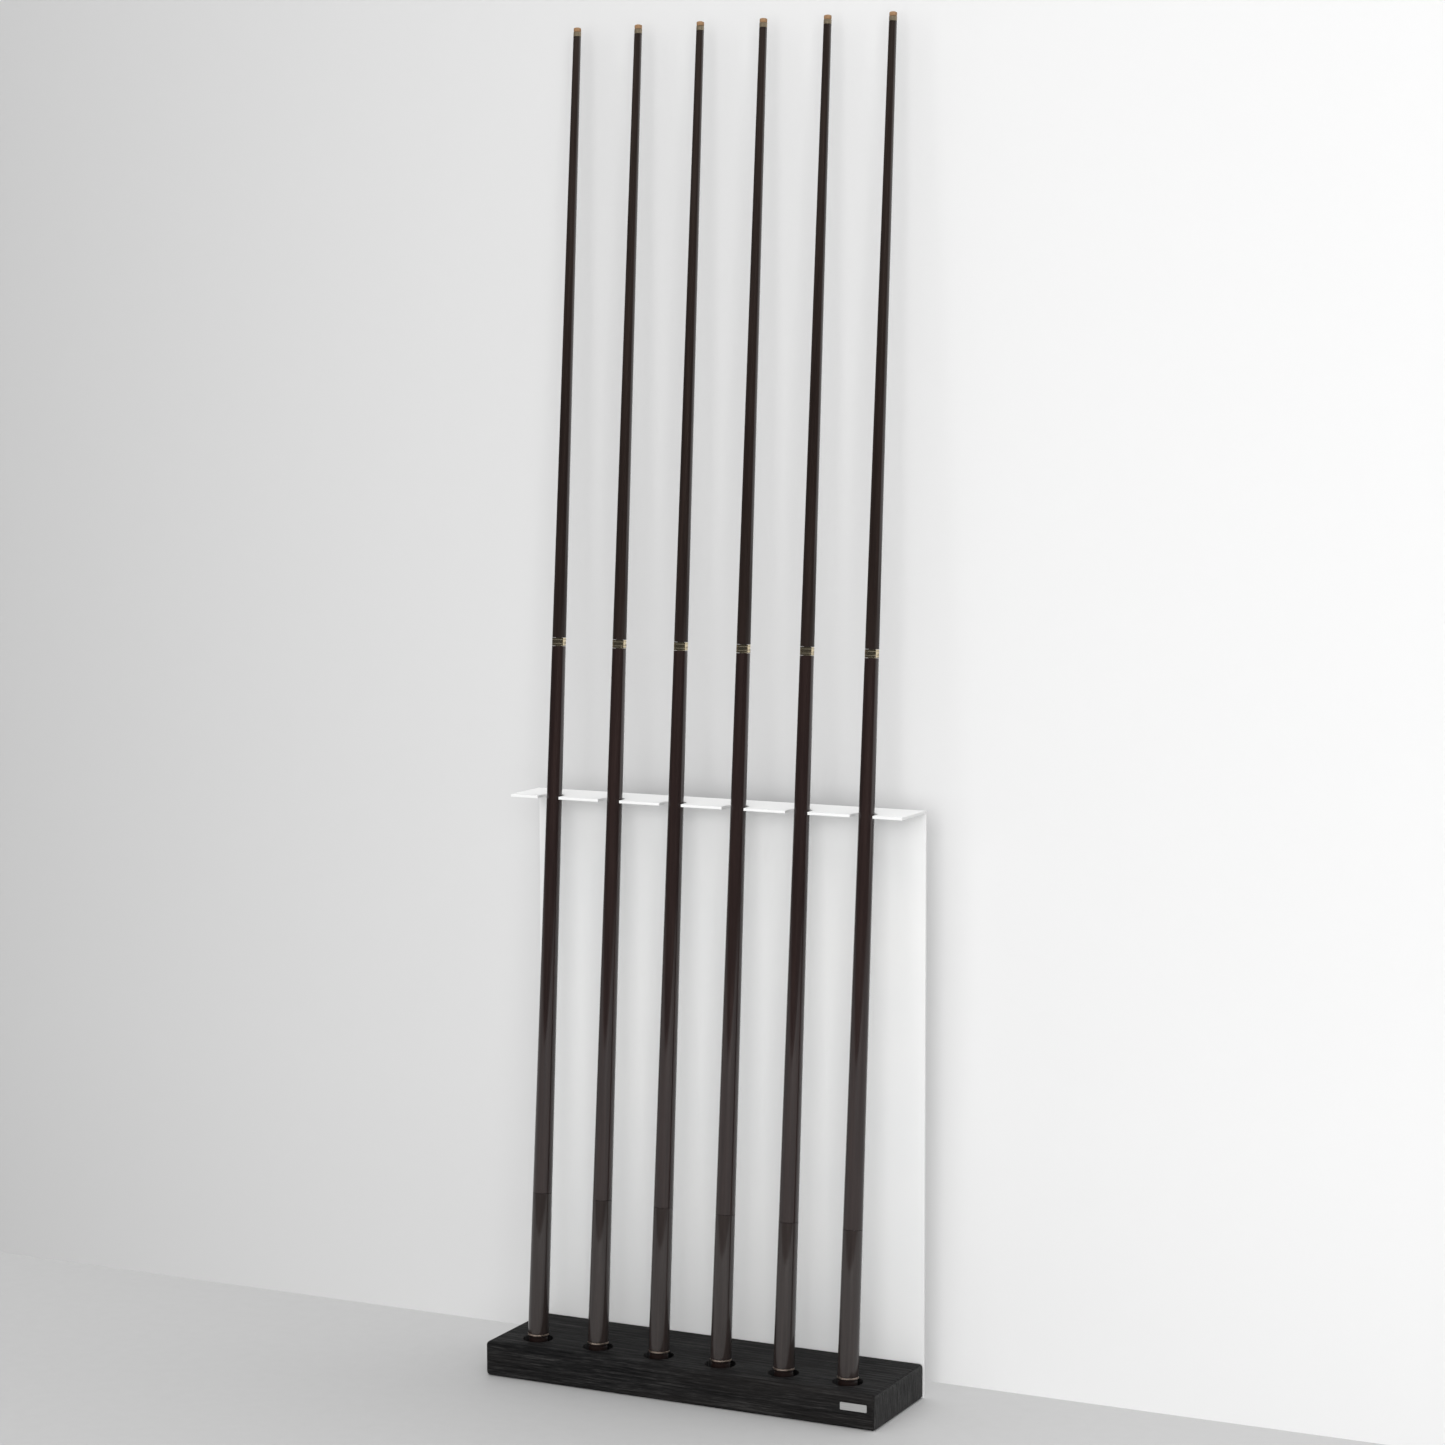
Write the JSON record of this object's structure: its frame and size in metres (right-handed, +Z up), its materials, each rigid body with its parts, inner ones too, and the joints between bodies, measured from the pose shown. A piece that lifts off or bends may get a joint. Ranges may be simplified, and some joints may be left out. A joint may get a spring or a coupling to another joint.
{
  "type": "wall cue rack",
  "caption": "Floor-standing wall rack for pool cues: a folded steel panel with a notched shelf behind a wooden block with round pockets, shown with its two-piece cues.",
  "frame": {"origin": "middle of the wooden block's underside, on the floor", "axes": "+X to the right along the wall, +Y into the wall, +Z up"},
  "size_m": [0.475, 0.1949, 1.4963],
  "materials": {
    "block_wood": "black-stained open-grain timber, satin",
    "panel_steel": "fine-texture white powder coat, satin",
    "badge_metal": "fine horizontal brushing, blank",
    "rail_zinc": "bright zinc plate",
    "screw_zinc": "bright zinc plate",
    "pad_felt": "pressed black felt",
    "cue_shaft": "dark brown stained timber under clear lacquer",
    "cue_butt": "red-brown stained timber under clear lacquer",
    "cue_sleeve": "smoke-grey stained timber under clear lacquer",
    "cue_brass": "polished pale brass",
    "cue_leather": "pressed tan leather",
    "cue_rubber": "dark red-brown moulded rubber"
  },
  "bodies": {
    "rack": {"base_block": "block_wood", "back_panel": "panel_steel", "badge_plate": "badge_metal", "wall_rail": "rail_zinc", "panel_screw_1": "screw_zinc", "panel_screw_2": "screw_zinc", "pocket_pad_1": "pad_felt", "pocket_pad_2": "pad_felt", "pocket_pad_3": "pad_felt", "pocket_pad_4": "pad_felt", "pocket_pad_5": "pad_felt", "pocket_pad_6": "pad_felt"},
    "cue_1_lower": {"cue_1_bumper": "cue_rubber", "cue_1_ring": "cue_brass", "cue_1_sleeve": "cue_sleeve", "cue_1_butt": "cue_butt", "cue_1_joint": "cue_brass"},
    "cue_1_upper": {"cue_1_shaft": "cue_shaft", "cue_1_ferrule": "cue_brass", "cue_1_tip": "cue_leather"},
    "cue_2_lower": {"cue_2_bumper": "cue_rubber", "cue_2_ring": "cue_brass", "cue_2_sleeve": "cue_sleeve", "cue_2_butt": "cue_butt", "cue_2_joint": "cue_brass"},
    "cue_2_upper": {"cue_2_shaft": "cue_shaft", "cue_2_ferrule": "cue_brass", "cue_2_tip": "cue_leather"},
    "cue_3_lower": {"cue_3_bumper": "cue_rubber", "cue_3_ring": "cue_brass", "cue_3_sleeve": "cue_sleeve", "cue_3_butt": "cue_butt", "cue_3_joint": "cue_brass"},
    "cue_3_upper": {"cue_3_shaft": "cue_shaft", "cue_3_ferrule": "cue_brass", "cue_3_tip": "cue_leather"},
    "cue_4_lower": {"cue_4_bumper": "cue_rubber", "cue_4_ring": "cue_brass", "cue_4_sleeve": "cue_sleeve", "cue_4_butt": "cue_butt", "cue_4_joint": "cue_brass"},
    "cue_4_upper": {"cue_4_shaft": "cue_shaft", "cue_4_ferrule": "cue_brass", "cue_4_tip": "cue_leather"},
    "cue_5_lower": {"cue_5_bumper": "cue_rubber", "cue_5_ring": "cue_brass", "cue_5_sleeve": "cue_sleeve", "cue_5_butt": "cue_butt", "cue_5_joint": "cue_brass"},
    "cue_5_upper": {"cue_5_shaft": "cue_shaft", "cue_5_ferrule": "cue_brass", "cue_5_tip": "cue_leather"},
    "cue_6_lower": {"cue_6_bumper": "cue_rubber", "cue_6_ring": "cue_brass", "cue_6_sleeve": "cue_sleeve", "cue_6_butt": "cue_butt", "cue_6_joint": "cue_brass"},
    "cue_6_upper": {"cue_6_shaft": "cue_shaft", "cue_6_ferrule": "cue_brass", "cue_6_tip": "cue_leather"}
  },
  "joints": [
    {"name": "cue_1_lift_out", "type": "slide", "parent": "rack", "child": "cue_1_lower", "axis": [0, -0.2588, 0.9659], "range_m": [0, 0.15]},
    {"name": "cue_1_shaft_draw", "type": "slide", "parent": "cue_1_lower", "child": "cue_1_upper", "axis": [0, 0.0767, 0.9971], "range_m": [0, 0.05]},
    {"name": "cue_2_lift_out", "type": "slide", "parent": "rack", "child": "cue_2_lower", "axis": [0, -0.2588, 0.9659], "range_m": [0, 0.15]},
    {"name": "cue_2_shaft_draw", "type": "slide", "parent": "cue_2_lower", "child": "cue_2_upper", "axis": [0, 0.0767, 0.9971], "range_m": [0, 0.05]},
    {"name": "cue_3_lift_out", "type": "slide", "parent": "rack", "child": "cue_3_lower", "axis": [0, -0.2588, 0.9659], "range_m": [0, 0.15]},
    {"name": "cue_3_shaft_draw", "type": "slide", "parent": "cue_3_lower", "child": "cue_3_upper", "axis": [0, 0.0767, 0.9971], "range_m": [0, 0.05]},
    {"name": "cue_4_lift_out", "type": "slide", "parent": "rack", "child": "cue_4_lower", "axis": [0, -0.2588, 0.9659], "range_m": [0, 0.15]},
    {"name": "cue_4_shaft_draw", "type": "slide", "parent": "cue_4_lower", "child": "cue_4_upper", "axis": [0, 0.0767, 0.9971], "range_m": [0, 0.05]},
    {"name": "cue_5_lift_out", "type": "slide", "parent": "rack", "child": "cue_5_lower", "axis": [0, -0.2588, 0.9659], "range_m": [0, 0.15]},
    {"name": "cue_5_shaft_draw", "type": "slide", "parent": "cue_5_lower", "child": "cue_5_upper", "axis": [0, 0.0767, 0.9971], "range_m": [0, 0.05]},
    {"name": "cue_6_lift_out", "type": "slide", "parent": "rack", "child": "cue_6_lower", "axis": [0, -0.2588, 0.9659], "range_m": [0, 0.15]},
    {"name": "cue_6_shaft_draw", "type": "slide", "parent": "cue_6_lower", "child": "cue_6_upper", "axis": [0, 0.0767, 0.9971], "range_m": [0, 0.05]}
  ]
}
